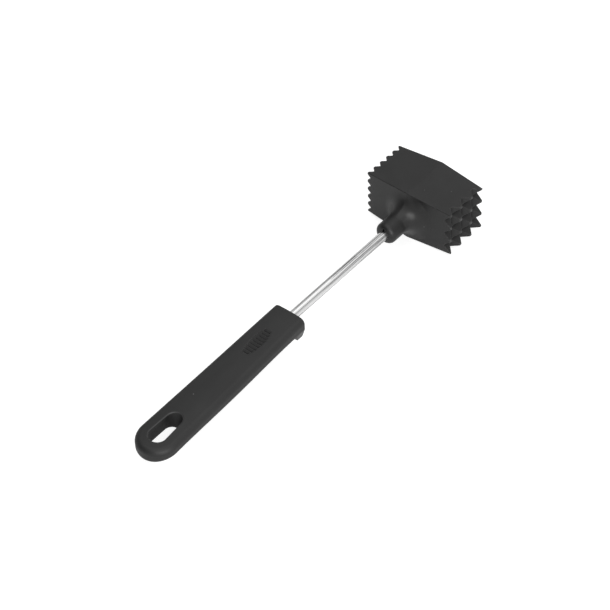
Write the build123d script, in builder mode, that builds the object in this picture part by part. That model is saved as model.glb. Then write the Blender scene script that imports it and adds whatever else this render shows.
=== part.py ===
from build123d import *
import math
import os

# A two-faced meat mallet lying level: +X runs from the grip to the head, +Y out of the fine
# striking face, +Z up. The origin is the bottom centre of the whole tool's bounding box.
# All lengths are in millimetres.

# ---- Driving dimensions ----------------------------------------------------------------
overall_length = 271.1

# Head: square in section, widest at the parting plane and drafted towards both faces.
head_span = 63.5
head_width = 35.5
face_width = 31.4
coarse_gaps = 3
coarse_depth = 5.45
coarse_root_radius = 0.9
fine_gaps = 5
fine_depth = 3.35
fine_root_radius = 1.0
tooth_land = 0.9
tip_radius = 0.6
long_edge_radius = 0.4

# Boss: the neck that holds the shank, flaring out into the head's front face.
boss_radius = 7.0
boss_reach = 40.2
boss_round = 3.4
flare_radius = 11.5
stake_width = 1.2
stake_length = 1.4
stake_height = 5.0

# Shank: a round steel rod, ringed where the head is cast on and pressed flat in the grip.
shank_radius = 3.0
shank_bury_head = 28.0
ring_depth = 0.5
ring_width = 2.0
ring_count = 3
ring_pitch = 6.0
tang_length = 24.0
tang_width = 8.6
tang_thickness = 3.0
tang_corner_radius = 1.0
tang_neck = 6.0
tang_hole_radius = 1.6
tang_rear_in_grip = 48.0

# Grip: flat and wide. Each station gives the distance behind the front end, and the heights of
# the crowned top and base above the shank's axis.
grip_length = 126.7
grip_front_width = 22.4
grip_tail_width = 26.2
grip_tail_reach = 14.0
grip_stations = (
    (0.0, 5.7, -5.9),
    (30.0, 4.2, -6.1),
    (62.8, 2.5, -8.0),
    (105.3, 0.6, -9.2),
    (126.7, -0.4, -11.4),
)
grip_crown = 0.6
grip_edge_radius = 3.7
grip_front_round = 0.8

# Finger lip: a drafted block under the grip's front end.
lip_shoulder = -2.5
lip_base = -10.5
lip_base_width = 17.4
lip_length = 4.2
lip_ramp = 3.4
lip_ramp_top = -4.1
lip_edge_radius = 2.4

# Hang slot through the grip's tail: egg-shaped, with its big end towards the tail and a front
# wall that leans. Each mouth gives its height above the shank's axis, the radii of its front and
# tail ends, and how far apart they are.
slot_mouths = (
    (2.0, 4.8, 5.6, 14.0),
    (-12.0, 4.5, 4.8, 8.8),
)
slot_from_tail = 13.3
slot_rim_radius = 0.8

# Thumb rest: a leaf of sawtooth scallops across the top of the grip.
scallop_count = 9
scallop_pitch = 2.38
scallop_depth = 1.1
thumb_half_length = 11.4
thumb_half_width = 4.2
thumb_from_front = 29.2

# ---- Places worked out from the dimensions ---------------------------------------------
shank_z = head_width / 2
head_x = (overall_length - head_width) / 2
tail_x = -overall_length / 2
grip_front_x = tail_x + grip_length
boss_tip_x = head_x - boss_reach
half_span = head_span / 2
draft = (head_width - face_width) / 2 / half_span
head_centre = (head_x, 0, shank_z)
# How far a blank or a cutter reaches past the surface that it makes.
clear = 5.0

# Across the tool at the head's centre, facing back to the grip.
boss_plane = Plane(origin=head_centre, x_dir=(0, 1, 0), z_dir=(-1, 0, 0))
# The head seen from its front, with the striking face's direction as the plane's Y axis.
side_plane = Plane(origin=head_centre, x_dir=(0, 0, 1), z_dir=(-1, 0, 0))
# Flat on the shank's axis, seen from above.
axis_plane = Plane(origin=(0, 0, shank_z))


def across(x):
    """The plane across the tool at this place along it, facing the head."""
    return Plane(origin=(x, 0, shank_z), x_dir=(0, 1, 0), z_dir=(1, 0, 0))


# ---- Shank -----------------------------------------------------------------------------
shank_front_x = boss_tip_x + shank_bury_head
tang_rear_x = grip_front_x - tang_rear_in_grip
tang_front_x = tang_rear_x + tang_length
round_rear_x = tang_front_x + tang_neck

with BuildPart() as shank:
    with BuildSketch(across(round_rear_x)):
        Circle(shank_radius)
    extrude(amount=shank_front_x - round_rear_x)
    chamfer(shank.edges().sort_by(Axis.X)[-1], ring_depth)
    for ring in range(ring_count):
        ring_x = shank_front_x - ring_pitch * (ring + 1)
        with BuildSketch(across(ring_x)):
            Circle(shank_radius + clear)
            Circle(shank_radius - ring_depth, mode=Mode.SUBTRACT)
        extrude(amount=ring_width / 2, both=True, mode=Mode.SUBTRACT)
    # The neck changes from round to flat.
    with BuildSketch(across(round_rear_x)):
        Circle(shank_radius)
    with BuildSketch(across(tang_front_x)):
        RectangleRounded(tang_width, tang_thickness, tang_corner_radius)
    loft()
    with BuildSketch(across(tang_front_x)):
        RectangleRounded(tang_width, tang_thickness, tang_corner_radius)
    extrude(amount=-tang_length)
    with BuildSketch(axis_plane):
        with Locations((tang_rear_x + tang_length / 2, 0)):
            Circle(tang_hole_radius)
    extrude(amount=tang_thickness, both=True, mode=Mode.SUBTRACT)

shank.part.label = "shank"


# ---- Head ------------------------------------------------------------------------------
def toothed_outline(gaps, depth, root_radius, rear):
    """Half of the head seen along its teeth: drafted sides from rear behind the parting plane (y = 0)
    to a striking face at half_span, with V gaps between blunt tips."""
    pitch = (face_width - tooth_land) / gaps
    rear_half = head_width / 2 + draft * rear
    with BuildSketch() as outline:
        with BuildLine():
            corners = [(-rear_half, -rear), (-face_width / 2, half_span)]
            for gap in range(gaps):
                middle = (gap - (gaps - 1) / 2) * pitch
                corners.append((middle - (pitch - tooth_land) / 2, half_span))
                corners.append((middle, half_span - depth))
                corners.append((middle + (pitch - tooth_land) / 2, half_span))
            corners.append((face_width / 2, half_span))
            corners.append((rear_half, -rear))
            Polyline(*corners, close=True)
        make_face()
        fillet(outline.vertices().group_by(Axis.Y)[1], root_radius)
        fillet(outline.vertices().group_by(Axis.Y)[-1], tip_radius)
    return outline.sketch


def head_half(gaps, depth, root_radius):
    """The +Y half of the head, from the parting plane to a face with gaps + 1 rows of teeth."""
    # The half block's plan runs past the parting plane, so that the flare has room.
    overrun = flare_radius + boss_radius + clear
    with BuildPart() as half:
        with BuildSketch(Plane(origin=head_centre)):
            add(toothed_outline(gaps, depth, root_radius, overrun))
        extrude(amount=overrun, both=True)
        with BuildSketch(boss_plane):
            Circle(boss_radius)
        extrude(amount=boss_reach)
        fillet(half.edges().filter_by(GeomType.ELLIPSE), flare_radius)
        fillet(half.edges().filter_by(GeomType.CIRCLE).sort_by(Axis.X)[0], boss_round)
        # Trim to the half's side outline, which has the same draft and the same teeth.
        with BuildSketch(side_plane):
            add(toothed_outline(gaps, depth, root_radius, 0))
        extrude(amount=2 * boss_reach, both=True, mode=Mode.INTERSECT)
        # Soften the four long edges between the drafted sides.
        long_edges = half.edges().filter_by(GeomType.LINE).filter_by(
            lambda edge: edge.length > half_span / 2 and edge.center().Y > clear
        )
        fillet(long_edges, long_edge_radius)
    return half.part


fine_half = head_half(fine_gaps, fine_depth, fine_root_radius)
coarse_half = head_half(coarse_gaps, coarse_depth, coarse_root_radius)

with BuildPart() as head:
    add(fine_half)
    add(mirror(coarse_half, about=Plane.XZ))
    # A stake mark bites into the top of the boss's end, above the shank.
    with BuildSketch(Plane(origin=(boss_tip_x, 0, shank_z))):
        Rectangle(stake_length, stake_width, align=(Align.MIN, Align.CENTER))
    extrude(amount=stake_height, mode=Mode.SUBTRACT)
    add(shank.part, mode=Mode.SUBTRACT)

head.part.label = "head"


# ---- Grip ------------------------------------------------------------------------------
tail_radius = grip_tail_width / 2
slot_x = tail_x + slot_from_tail
thumb_x = grip_front_x - thumb_from_front
front_top = grip_stations[0][1]
tail_top = grip_stations[-1][1]
top_slope = (front_top - tail_top) / grip_length
thumb_z = shank_z + front_top - top_slope * thumb_from_front
thumb_plane = Plane(origin=(thumb_x, 0, thumb_z), x_dir=(1, 0, top_slope), z_dir=(-top_slope, 0, 1))


def crowned_section(top, base):
    """The grip's blank seen end on, with a gently crowned top and base."""
    half = grip_tail_width
    fall = grip_crown * (half / (grip_front_width / 2)) ** 2
    with BuildSketch() as section:
        with BuildLine():
            ThreePointArc((-half, top - fall), (0, top), (half, top - fall))
            Line((half, top - fall), (half, base + fall))
            ThreePointArc((half, base + fall), (0, base), (-half, base + fall))
            Line((-half, base + fall), (-half, top - fall))
        make_face()
    return section.sketch


def scallop(half_chord):
    """A scallop with steep rounded sides, and a floor that slopes up from its deep end."""
    with BuildPart() as cutter:
        with BuildSketch(Plane.YZ):
            Ellipse(half_chord, scallop_depth)
        extrude(amount=scallop_pitch)
        with BuildSketch(Plane.XZ):
            with BuildLine():
                Polyline(
                    (0, scallop_depth),
                    (0, -scallop_depth),
                    (scallop_pitch, 0),
                    (scallop_pitch, scallop_depth),
                    close=True,
                )
            make_face()
        extrude(amount=thumb_half_width, both=True, mode=Mode.INTERSECT)
    return cutter.part


with BuildPart() as lip:
    # End view: the sides draw in towards the base.
    with BuildSketch(across(grip_front_x)) as lip_end:
        with BuildLine():
            Polyline(
                (-grip_front_width / 2, 0),
                (-grip_front_width / 2, lip_shoulder),
                (-lip_base_width / 2, lip_base),
                (lip_base_width / 2, lip_base),
                (grip_front_width / 2, lip_shoulder),
                (grip_front_width / 2, 0),
                close=True,
            )
        make_face()
        fillet(lip_end.vertices().group_by(Axis.Y)[0], lip_edge_radius)
    extrude(amount=-lip_length - lip_ramp)
    fillet(lip.faces().sort_by(Axis.X)[-1].edges().sort_by(Axis.Z)[:-1], grip_front_round)
    # Side view: a ramp behind the lip cuts its lower rear corner away.
    with BuildSketch(Plane(origin=(grip_front_x, 0, shank_z), x_dir=(1, 0, 0), z_dir=(0, -1, 0))):
        with BuildLine():
            Polyline(
                (-lip_length, lip_base - clear),
                (-lip_length, lip_base),
                (-lip_length - lip_ramp, lip_ramp_top),
                (-lip_length - lip_ramp, lip_base - clear),
                close=True,
            )
        make_face()
    extrude(amount=grip_front_width, both=True, mode=Mode.SUBTRACT)

with BuildPart() as grip:
    # A crowned blank, wider than the grip, through all its stations.
    for behind, top, base in grip_stations:
        with BuildSketch(across(grip_front_x - behind)):
            add(crowned_section(top, base))
    loft()
    # Trim it to the plan: a long taper with a rounded tail.
    with BuildSketch(axis_plane):
        shoulder_x = tail_x + grip_tail_reach
        with BuildLine():
            Line((grip_front_x, grip_front_width / 2), (shoulder_x, tail_radius))
            EllipticalCenterArc((shoulder_x, 0), grip_tail_reach, tail_radius, 90, arc_size=180)
            Line((shoulder_x, -tail_radius), (grip_front_x, -grip_front_width / 2))
            Line((grip_front_x, -grip_front_width / 2), (grip_front_x, grip_front_width / 2))
        make_face()
    extrude(amount=head_width, both=True, mode=Mode.INTERSECT)
    # Round the long edges and the tail, above and below.
    rims = grip.faces().sort_by(Axis.Z)
    long_edges = (rims[0].edges() + rims[-1].edges()).filter_by(
        lambda edge: edge.center().X < grip_front_x - clear
    )
    fillet(long_edges, grip_edge_radius)
    fillet(grip.faces().sort_by(Axis.X)[-1].edges(), grip_front_round)
    add(lip.part)
    # The hang slot, and its rounded rims.
    for height, front_radius, rear_radius, spread in slot_mouths:
        with BuildSketch(Plane(origin=(slot_x, 0, shank_z + height))):
            Circle(rear_radius)
            with Locations((spread, 0)):
                Circle(front_radius)
            make_hull()
    loft(mode=Mode.SUBTRACT)
    pierced_faces = grip.faces().filter_by(lambda face: len(face.inner_wires()) > 0)
    slot_rims = [edge for face in pierced_faces for edge in face.inner_wires()[0].edges()]
    fillet(slot_rims, slot_rim_radius)
    # The thumb rest's scallops lie in the top face and get narrower towards both ends.
    for step in range(scallop_count):
        along = (step - (scallop_count - 1) / 2) * scallop_pitch
        half_chord = thumb_half_width * math.sqrt(1 - (along / thumb_half_length) ** 2)
        with Locations(thumb_plane * Location((along - scallop_pitch / 2, 0, 0))):
            add(scallop(half_chord), mode=Mode.SUBTRACT)
    add(shank.part, mode=Mode.SUBTRACT)

grip.part.label = "grip"

os.makedirs("parts", exist_ok=True)
for piece in (head, shank, grip):
    export_step(piece.part, f"parts/{piece.part.label}.step")
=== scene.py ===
import math

import bpy
from mathutils import Matrix, Vector


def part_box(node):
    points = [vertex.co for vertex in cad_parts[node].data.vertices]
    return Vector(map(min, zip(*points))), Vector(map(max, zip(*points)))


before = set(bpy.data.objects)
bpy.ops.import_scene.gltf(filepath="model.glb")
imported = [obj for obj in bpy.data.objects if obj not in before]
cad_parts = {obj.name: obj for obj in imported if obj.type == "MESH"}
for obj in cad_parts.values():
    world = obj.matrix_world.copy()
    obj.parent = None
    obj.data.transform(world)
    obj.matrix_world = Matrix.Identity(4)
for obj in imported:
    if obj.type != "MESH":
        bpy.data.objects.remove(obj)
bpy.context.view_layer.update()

# Looks for a meat mallet: a coated casting, a bright drawn rod and a moulded grip, on a pale floor.
# Lengths are in metres, in the frame's own axes: +X from grip to head, +Z up.

MM = 0.001

head_low, head_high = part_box("head")
grip_low, grip_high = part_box("grip")
axis_z = (head_low.z + head_high.z) / 2

# Cosines of the turn between a face and its softened normal, on a flat face and on a sharp edge.
FLAT_COSINE = 0.995
EDGE_COSINE = 0.86

# Where the tool is painted lighter: the teeth's tips, worn and with a painted glint, and painted
# highlights on the grip's lip and the hang slot's rims. Each pair has the distance where the lightening
# starts, then where it is full.
TIP_WEAR_AND_GLINT = (1.1 * MM, 0.1 * MM)  # in from the teeth's tips
LIP_HIGHLIGHT_BACK = (8.0 * MM, 4.0 * MM)  # back from the grip's front end
LIP_HIGHLIGHT_DROP = (1.0 * MM, 4.5 * MM)  # below the tool's axis
RIM_HIGHLIGHT_OUT = (7.5 * MM, 6.5 * MM)  # out from the tool's mid-plane
# The same, as distances from the tail: the hang slot's stretch, and what clears the rounded tail.
SLOT_STRETCH = (40.0 * MM, 32.0 * MM)
CLEAR_OF_TAIL = (5.0 * MM, 6.0 * MM)

# Each scratch on the rod has its angle round it, from +Y towards +Z, and its two ends along the tool.
SCRATCHES = ((1.79, 32 * MM, 75 * MM), (1.30, 0 * MM, 50 * MM))
SCRATCH_FADE = 8 * MM

FLOOR_REACH = 6.0
FLOOR_GLOW_SEEN = 0.78
FLOOR_GLOW_REFLECTED = 0.38

HORIZON_LEVEL = 0.75
SIDE_LEVEL = 0.72
OVERHEAD_LEVEL = 1.6
# Each flag is a direction from the tool, the cosines where its shade starts and is full, and the
# share of the light that it lets through.
FLAGS = (
    ((-0.75, 0.50, 0.42), 0.70, 0.95, 0.05),
    ((0.53, -0.70, 0.45), 0.78, 0.97, 0.85),
    ((0.13, 0.86, 0.47), 0.78, 0.97, 0.40),
)
KEY_PLACE = (-0.61, -1.01, 0.60)
KEY_WIDTH, KEY_HEIGHT = 0.7, 1.1
KEY_WATTS = 10.0

SENSOR_WIDTH = 36.0
FOCAL_LENGTH = 129.84
NEAREST_SEEN = 0.05
CAMERA_TARGET = Vector((4.08 * MM, -0.17 * MM, axis_z))
CAMERA_AZIMUTH = math.radians(-138.546)
CAMERA_ELEVATION = math.radians(45.33)
CAMERA_ROLL = math.radians(-2.5)
CAMERA_DISTANCE = 1.273


# ---- Node helpers ----------------------------------------------------------------------
class Graph:
    """Adds nodes to a tree, and joins each input to a socket or sets it to a value."""

    def __init__(self, tree):
        self.tree = tree
        tree.nodes.clear()

    def add(self, kind, inputs=None, **settings):
        node = self.tree.nodes.new(kind)
        for name, value in settings.items():
            setattr(node, name, value)
        for name, value in (inputs or {}).items():
            socket = node.inputs[name]
            if isinstance(value, bpy.types.NodeSocket):
                self.tree.links.new(value, socket)
            else:
                socket.default_value = value
        return node

    def math(self, operation, first, second=0.0, clamp=False):
        return self.add(
            "ShaderNodeMath", {0: first, 1: second}, operation=operation, use_clamp=clamp
        ).outputs[0]

    def noise(self, vector, scale, detail, roughness):
        return self.add(
            "ShaderNodeTexNoise",
            {"Vector": vector, "Scale": scale, "Detail": detail, "Roughness": roughness},
        ).outputs["Fac"]

    def span(self, value, low, high, to_low=0.0, to_high=1.0):
        """Maps low..high to to_low..to_high, smoothly and clamped."""
        return self.add(
            "ShaderNodeMapRange",
            {"Value": value, "From Min": low, "From Max": high, "To Min": to_low, "To Max": to_high},
            interpolation_type="SMOOTHSTEP",
        ).outputs[0]

    def mix(self, factor, first, second):
        node = self.add("ShaderNodeMix", data_type="RGBA", blend_type="MIX", clamp_factor=True)
        for socket, value in ((0, factor), (6, first), (7, second)):
            if isinstance(value, bpy.types.NodeSocket):
                self.tree.links.new(value, node.inputs[socket])
            else:
                node.inputs[socket].default_value = value
        return node.outputs[2]

    def bump(self, height, distance, strength, normal=None):
        inputs = {"Height": height, "Distance": distance, "Strength": strength}
        if normal is not None:
            inputs["Normal"] = normal
        return self.add("ShaderNodeBump", inputs).outputs[0]


def grey(level, warmth=0.0):
    return (level * (1 + warmth), level, level * (1 - warmth), 1.0)


def material(name):
    made = bpy.data.materials.new(name)
    made.use_nodes = True
    graph = Graph(made.node_tree)
    place = graph.add("ShaderNodeTexCoord").outputs["Object"]
    return made, graph, place


def close(graph, inputs):
    shader = graph.add("ShaderNodeBsdfPrincipled", inputs)
    output = graph.add("ShaderNodeOutputMaterial")
    graph.tree.links.new(shader.outputs[0], output.inputs["Surface"])


def edge_mask(graph, radius):
    """1 on edges and 0 on flat faces, with the rounded normal that finds them."""
    soft = graph.add("ShaderNodeBevel", {"Radius": radius}, samples=6).outputs[0]
    true = graph.add("ShaderNodeNewGeometry").outputs["Normal"]
    same = graph.add(
        "ShaderNodeVectorMath", {0: soft, 1: true}, operation="DOT_PRODUCT"
    ).outputs["Value"]
    return graph.span(same, FLAT_COSINE, EDGE_COSINE), soft


def cavity(graph, reach, closed, clear):
    """1 in the open, falling to 0 where less than the closed share of the sky shows within reach."""
    open_share = graph.add(
        "ShaderNodeAmbientOcclusion", {"Distance": reach}, samples=8, only_local=True
    ).outputs["AO"]
    return graph.span(open_share, closed, clear)


def dust(graph, place, scale, rim, core, rarity):
    """1 on small round specks, full inside the core and gone at the rim, in the rarest cells only."""
    cells = graph.add("ShaderNodeTexVoronoi", {"Vector": place, "Scale": scale}, feature="F1")
    dot = graph.span(cells.outputs["Distance"], rim, core)
    chance = graph.add("ShaderNodeSeparateColor", {0: cells.outputs["Color"]}).outputs[0]
    return graph.math("MULTIPLY", dot, graph.span(chance, rarity, rarity + 0.02))


# ---- Materials -------------------------------------------------------------------------
def coated_casting():
    """Die casting under a dark satin non-stick coat, with an orange-peel skin, rubbed edges, worn teeth
    tips with a painted glint, and painted shade in its hollows.
    """
    made, graph, place = material("coated_casting")
    edges, soft = edge_mask(graph, 0.45 * MM)
    mottle = graph.noise(place, 70.0, 4.0, 0.55)
    cloud = graph.noise(place, 26.0, 2.0, 0.5)
    peel = graph.noise(place, 1500.0, 2.0, 0.5)
    grit = graph.noise(place, 4200.0, 3.0, 0.65)
    # Rubbed edges come and go along their length.
    patchy = graph.span(graph.noise(place, 240.0, 3.0, 0.6), 0.38, 0.66)
    worn = graph.math("MULTIPLY", edges, patchy, clamp=True)
    # The teeth's tips are painted brighter than anything else: worn coat, and a painted glint.
    outward = graph.math(
        "ABSOLUTE", graph.add("ShaderNodeSeparateXYZ", {0: place}).outputs["Y"]
    )
    tips = graph.span(outward, *(head_high.y - depth for depth in TIP_WEAR_AND_GLINT))
    tips = graph.math("MULTIPLY", tips, graph.span(patchy, 0.0, 1.0, 0.45, 1.0))
    open_share = cavity(graph, 7.0 * MM, 0.35, 0.85)
    specks = dust(graph, place, 210.0, 0.085, 0.05, 0.93)
    colour = graph.mix(graph.span(mottle, 0.3, 0.7), grey(0.0105, 0.01), grey(0.0145))
    colour = graph.mix(graph.span(grit, 0.62, 0.8, 0.0, 0.5), colour, grey(0.028))
    colour = graph.mix(graph.math("MULTIPLY", worn, 0.55), colour, grey(0.075, 0.02))
    # Painted shade: the colour darkens in the teeth's valleys and other hollows.
    colour = graph.mix(graph.span(open_share, 0.0, 0.6), grey(0.006), colour)
    # Painted glint on the worn teeth tips.
    colour = graph.mix(graph.math("MULTIPLY", tips, 0.36), colour, grey(0.14, 0.01))
    colour = graph.mix(graph.math("MULTIPLY", specks, 0.5), colour, grey(0.2))
    roughness = graph.span(mottle, 0.25, 0.75, 0.36, 0.46)
    roughness = graph.math("ADD", roughness, graph.span(cloud, 0.3, 0.7, -0.03, 0.03))
    roughness = graph.math("SUBTRACT", roughness, graph.math("MULTIPLY", worn, 0.1))
    roughness = graph.math("SUBTRACT", roughness, graph.math("MULTIPLY", tips, 0.14))
    normal = graph.bump(peel, 0.05 * MM, 0.35, soft)
    normal = graph.bump(grit, 0.02 * MM, 0.3, normal)
    close(graph, {
        "Base Color": colour,
        "Roughness": roughness,
        "Normal": normal,
        "IOR": 1.5,
        # Painted shade: hollows also reflect less.
        "Specular IOR Level": graph.span(open_share, 0.0, 0.9, 0.06, 0.35),
        "Coat Weight": 0.08,
        "Coat Roughness": 0.22,
        "Coat Normal": soft,
    })
    return made


def drawn_rod():
    """Bright plated steel, with lengthwise draw lines, brighter bands and two long dark scratches."""
    made, graph, place = material("drawn_rod")
    axes = graph.add("ShaderNodeSeparateXYZ", {0: place})
    along = axes.outputs["X"]
    across = axes.outputs["Y"]
    up = graph.math("SUBTRACT", axes.outputs["Z"], axis_z)
    angle = graph.math("ARCTAN2", up, across)

    def streaks(stretch, fineness, detail, shift):
        vector = graph.add(
            "ShaderNodeCombineXYZ",
            {
                0: graph.math("MULTIPLY", along, stretch),
                1: graph.math("ADD", graph.math("MULTIPLY", angle, fineness), shift),
                2: shift,
            },
        ).outputs[0]
        return graph.noise(vector, 1.0, detail, 0.6)

    bands = streaks(7.0, 2.6, 2.0, 3.1)
    lines = streaks(26.0, 6.0, 4.0, 7.7)
    hairs = streaks(12.0, 5.0, 1.0, 1.3)
    bright = graph.span(bands, 0.36, 0.62)
    hair = graph.span(hairs, 0.575, 0.6)
    # Long scratches follow the rod, and wander a little round it.
    wander = graph.span(streaks(30.0, 0.0, 2.0, 5.3), 0.3, 0.7, -0.05, 0.05)
    faint = graph.span(streaks(60.0, 0.0, 3.0, 9.1), 0.35, 0.55, 0.5, 1.0)
    for turn, begin, end in SCRATCHES:
        off = graph.math("ABSOLUTE", graph.math("SUBTRACT", graph.math("ADD", angle, wander), turn))
        scratch = graph.math("MULTIPLY", graph.span(off, 0.1, 0.06), faint)
        scratch = graph.math("MULTIPLY", scratch, graph.span(along, begin - SCRATCH_FADE, begin))
        scratch = graph.math("MULTIPLY", scratch, graph.span(along, end + SCRATCH_FADE, end))
        hair = graph.math("MAXIMUM", hair, scratch)
    colour = graph.mix(bright, grey(0.84), grey(0.93))
    colour = graph.mix(graph.span(lines, 0.5, 0.6, 0.0, 0.35), colour, grey(0.5))
    colour = graph.mix(graph.math("MULTIPLY", hair, 0.9), colour, grey(0.12))
    roughness = graph.span(lines, 0.3, 0.75, 0.2, 0.32)
    normal = graph.bump(lines, 0.03 * MM, 0.35)
    normal = graph.bump(hairs, 0.02 * MM, 0.3, normal)
    close(graph, {
        "Base Color": colour,
        "Metallic": 1.0,
        "Roughness": roughness,
        "Normal": normal,
        "Anisotropic": 0.4,
    })
    return made


def lip_highlight(graph, axes):
    """1 on the lip below the grip's front end, where a highlight is painted."""
    near_front = graph.span(axes.outputs["X"], *(grip_high.x - back for back in LIP_HIGHLIGHT_BACK))
    below = graph.span(axes.outputs["Z"], *(axis_z - drop for drop in LIP_HIGHLIGHT_DROP))
    return graph.math("MULTIPLY", near_front, below)


def slot_rim_highlight(graph, axes, near_tail):
    """1 on the hang slot's rounded rims, the only slopes near the tail's middle, where a highlight is
    painted.
    """
    facing = graph.add(
        "ShaderNodeSeparateXYZ", {0: graph.add("ShaderNodeNewGeometry").outputs["Normal"]}
    )
    slope = graph.math("ABSOLUTE", facing.outputs["Z"])
    rim = graph.math("MULTIPLY", graph.span(slope, 0.25, 0.45), graph.span(slope, 0.98, 0.85))
    beside = graph.math("ABSOLUTE", axes.outputs["Y"])
    rim = graph.math("MULTIPLY", rim, graph.span(beside, *RIM_HIGHLIGHT_OUT))
    off_tail = graph.span(axes.outputs["X"], *(grip_low.x + reach for reach in CLEAR_OF_TAIL))
    return graph.math("MULTIPLY", rim, graph.math("MULTIPLY", near_tail, off_tail))


def moulded_grip():
    """Moulded plastic with a fine satin texture, painted highlights on its front lip and hang slot rims,
    and painted shade in its hollows.
    """
    made, graph, place = material("moulded_grip")
    edges, soft = edge_mask(graph, 0.35 * MM)
    axes = graph.add("ShaderNodeSeparateXYZ", {0: place})
    near_tail = graph.span(axes.outputs["X"], *(grip_low.x + reach for reach in SLOT_STRETCH))
    rim = slot_rim_highlight(graph, axes, near_tail)
    # Painted highlights on the lip below the front end and on the hang slot's rims.
    lip_and_rim_highlight = graph.math("MAXIMUM", lip_highlight(graph, axes), graph.math("MULTIPLY", rim, 0.45))
    stretched = graph.add(
        "ShaderNodeVectorMath", {0: place, 1: (0.35, 1.0, 1.0)}, operation="MULTIPLY"
    ).outputs[0]
    flow = graph.noise(stretched, 90.0, 3.0, 0.55)
    cloud = graph.noise(place, 35.0, 2.0, 0.5)
    texture = graph.noise(place, 2600.0, 2.0, 0.6)
    fine = graph.noise(place, 6500.0, 2.0, 0.6)
    scuffs = graph.span(graph.noise(stretched, 420.0, 5.0, 0.7), 0.66, 0.78)
    specks = dust(graph, place, 180.0, 0.075, 0.045, 0.94)
    colour = graph.mix(graph.span(flow, 0.3, 0.7), grey(0.011), grey(0.0145))
    colour = graph.mix(graph.span(texture, 0.6, 0.8, 0.0, 0.5), colour, grey(0.026))
    colour = graph.mix(graph.math("MULTIPLY", edges, 0.6), colour, grey(0.05))
    colour = graph.mix(graph.math("MULTIPLY", scuffs, 0.25), colour, grey(0.06))
    colour = graph.mix(graph.math("MULTIPLY", specks, 0.5), colour, grey(0.2))
    # Painted highlight: the lip and the slot's rims are painted lighter.
    colour = graph.mix(graph.math("MULTIPLY", lip_and_rim_highlight, 0.8), colour, grey(0.06))
    roughness = graph.span(cloud, 0.3, 0.7, 0.5, 0.58)
    roughness = graph.math("ADD", roughness, graph.math("MULTIPLY", scuffs, 0.08))
    roughness = graph.math("SUBTRACT", roughness, graph.math("MULTIPLY", edges, 0.06))
    normal = graph.bump(texture, 0.03 * MM, 0.3, soft)
    normal = graph.bump(fine, 0.01 * MM, 0.3, normal)
    # Painted shade: the hang slot's walls reflect less, and the foot of each step in the thumb rest is
    # painted darker and reflects less.
    slot_shade = graph.math("SUBTRACT", 1.0, cavity(graph, 20.0 * MM, 0.3, 0.7))
    slot_shade = graph.math("MULTIPLY", slot_shade, near_tail)
    step_open = cavity(graph, 2.0 * MM, 0.58, 0.8)
    shine = graph.math(
        "MULTIPLY", graph.span(slot_shade, 0.0, 1.0, 1.0, 0.1), graph.span(step_open, 0.0, 1.0, 0.1, 1.0)
    )
    # The painted highlights also shine more.
    shine = graph.math("ADD", shine, graph.math("MULTIPLY", lip_and_rim_highlight, 0.8))
    colour = graph.mix(step_open, grey(0.005), colour)
    close(graph, {
        "Base Color": colour,
        "Roughness": roughness,
        "Normal": normal,
        "IOR": 1.49,
        "Specular IOR Level": graph.math("MULTIPLY", shine, 0.44),
    })
    return made


def dress(node, made):
    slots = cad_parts[node].data.materials
    slots.clear()
    slots.append(made)


dress("head", coated_casting())
dress("shank", drawn_rod())
dress("grip", moulded_grip())


# ---- Floor and light -------------------------------------------------------------------
def pale_floor():
    """A flat white table top that glows, so that shadows on it stay faint."""
    made, graph, place = material("pale_floor")
    cloth = graph.noise(place, 3.0, 2.0, 0.5)
    colour = graph.mix(cloth, grey(0.42), grey(0.46))
    seen = graph.add("ShaderNodeLightPath").outputs["Is Camera Ray"]
    close(graph, {
        "Base Color": colour,
        "Roughness": 0.7,
        "Emission Color": grey(1.0),
        "Emission Strength": graph.span(seen, 0.0, 1.0, FLOOR_GLOW_REFLECTED, FLOOR_GLOW_SEEN),
    })
    mesh = bpy.data.meshes.new("floor")
    corners = [(x * FLOOR_REACH, y * FLOOR_REACH, 0) for x, y in ((-1, -1), (1, -1), (1, 1), (-1, 1))]
    mesh.from_pydata(corners, [], [(0, 1, 2, 3)])
    mesh.materials.append(made)
    piece = bpy.data.objects.new("floor", mesh)
    bpy.context.scene.collection.objects.link(piece)


def aim(thing, place, target, roll=0.0):
    """Points the thing's -Z axis at the target, turned about it by roll."""
    towards = Vector(target) - Vector(place)
    turn = towards.to_track_quat("-Z", "Y").to_matrix().to_4x4()
    thing.matrix_world = Matrix.Translation(place) @ turn @ Matrix.Rotation(roll, 4, "Z")


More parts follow.
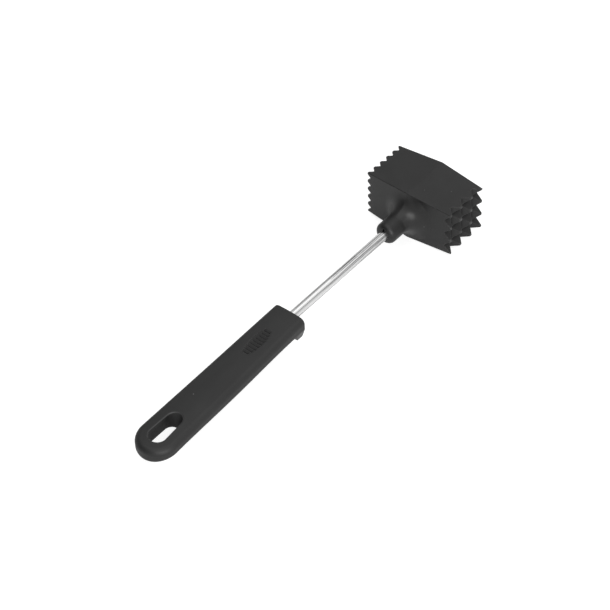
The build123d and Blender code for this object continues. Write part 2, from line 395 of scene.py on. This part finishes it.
def softbox(name, place, target, width, height, power):
    light = bpy.data.lights.new(name, "AREA")
    light.shape = "RECTANGLE"
    light.size = width
    light.size_y = height
    light.energy = power
    thing = bpy.data.objects.new(name, light)
    bpy.context.scene.collection.objects.link(thing)
    aim(thing, place, target)


def studio_world():
    """A soft surround, brightest overhead, with flags that shade parts of it."""
    world = bpy.data.worlds.new("studio")
    bpy.context.scene.world = world
    world.use_nodes = True
    graph = Graph(world.node_tree)
    direction = graph.add("ShaderNodeTexCoord").outputs["Generated"]
    # The height is the sine of the elevation: 0 at the horizon and 1 straight overhead.
    height = graph.add("ShaderNodeSeparateXYZ", {0: direction}).outputs["Z"]
    level = graph.math(
        "ADD",
        graph.span(height, 0.0, 0.5, HORIZON_LEVEL, SIDE_LEVEL),
        graph.span(height, 0.75, 0.92, 0.0, OVERHEAD_LEVEL - SIDE_LEVEL),
    )
    for flag, start, full, share in FLAGS:
        facing = graph.add(
            "ShaderNodeVectorMath",
            {0: direction, 1: tuple(Vector(flag).normalized())},
            operation="DOT_PRODUCT",
        ).outputs["Value"]
        level = graph.math("MULTIPLY", level, graph.span(facing, start, full, 1.0, share))
    background = graph.add("ShaderNodeBackground", {"Color": grey(1.0), "Strength": level})
    output = graph.add("ShaderNodeOutputWorld")
    graph.tree.links.new(background.outputs[0], output.inputs["Surface"])


pale_floor()
studio_world()
softbox("key", KEY_PLACE, (0.0, 0.0, axis_z), KEY_WIDTH, KEY_HEIGHT, KEY_WATTS)

# ---- Camera ----------------------------------------------------------------------------
camera_data = bpy.data.cameras.new("camera")
camera_data.sensor_width = SENSOR_WIDTH
camera_data.lens = FOCAL_LENGTH
camera_data.clip_start = NEAREST_SEEN
camera = bpy.data.objects.new("camera", camera_data)
bpy.context.scene.collection.objects.link(camera)
bpy.context.scene.camera = camera
camera_place = CAMERA_TARGET + CAMERA_DISTANCE * Vector((
    math.cos(CAMERA_ELEVATION) * math.cos(CAMERA_AZIMUTH),
    math.cos(CAMERA_ELEVATION) * math.sin(CAMERA_AZIMUTH),
    math.sin(CAMERA_ELEVATION),
))
aim(camera, camera_place, CAMERA_TARGET, CAMERA_ROLL)

bpy.context.scene.view_settings.view_transform = "Standard"
